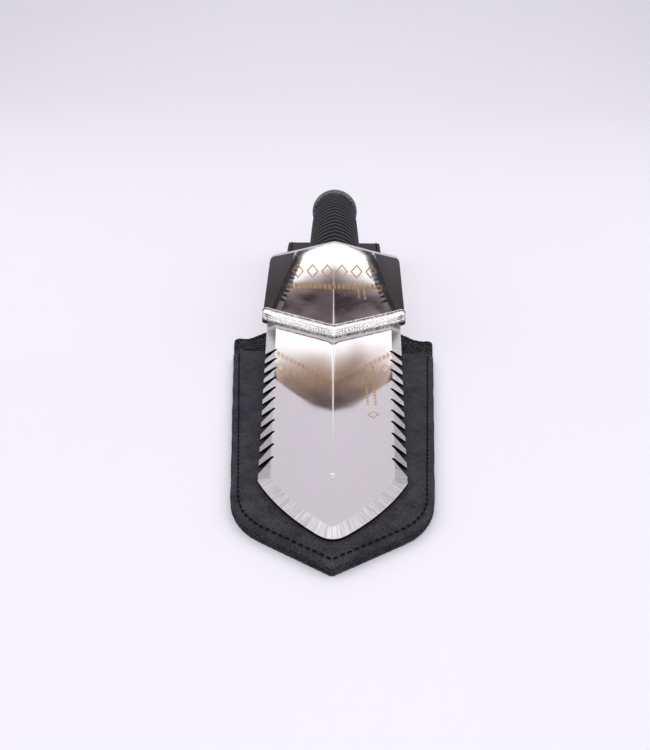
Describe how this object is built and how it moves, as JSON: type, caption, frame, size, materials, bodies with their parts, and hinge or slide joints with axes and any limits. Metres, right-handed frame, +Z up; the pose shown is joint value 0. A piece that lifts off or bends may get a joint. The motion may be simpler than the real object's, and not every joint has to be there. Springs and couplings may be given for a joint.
{
  "type": "detecting shovel",
  "caption": "Hand digging shovel with a V-folded, saw-edged steel blade, an upright guard plate and a ribbed rubber grip, lying on a leather belt sheath.",
  "frame": {"origin": "on the surface that the set lies on, at the middle of its width and length", "axes": "+X across the blade, +Y from the digging tip towards the handle, +Z up"},
  "size_m": [0.1244, 0.3559, 0.0669],
  "materials": {
    "polished_steel": "mirror polished stainless sheet",
    "weld_bead": "rough stainless weld bead",
    "tube_steel": "drawn stainless tube",
    "grip_rubber": "moulded black rubber",
    "cap_plastic": "moulded black rubber, worn shinier",
    "black_leather": "smooth black leather",
    "black_suede": "rough flesh-side leather",
    "rivet_metal": "nickel plated",
    "black_thread": "waxed black thread"
  },
  "bodies": {
    "sheath": {"back_panel": "black_leather", "back_lining": "black_suede", "inner_welt": "black_leather", "outer_welt": "black_leather", "front_panel": "black_leather", "belt_loop": "black_leather", "rivet_posts": "rivet_metal", "rivet_caps": "rivet_metal", "rivet_back_caps": "rivet_metal", "border_stitching": "black_thread", "shoulder_stitching": "black_thread", "loop_edge_stitching": "black_thread", "loop_seam_stitching": "black_thread"},
    "shovel": {"blade": "polished_steel", "guard_plate": "polished_steel", "front_weld": "weld_bead", "under_weld": "weld_bead", "handle_tube": "tube_steel", "tube_weld": "weld_bead", "grip_sleeve": "grip_rubber", "end_cap": "cap_plastic"}
  },
  "joints": [
    {"name": "shovel_lift", "type": "slide", "parent": "sheath", "child": "shovel", "axis": [0, 0, 1], "range_m": [0, 0.1]}
  ]
}
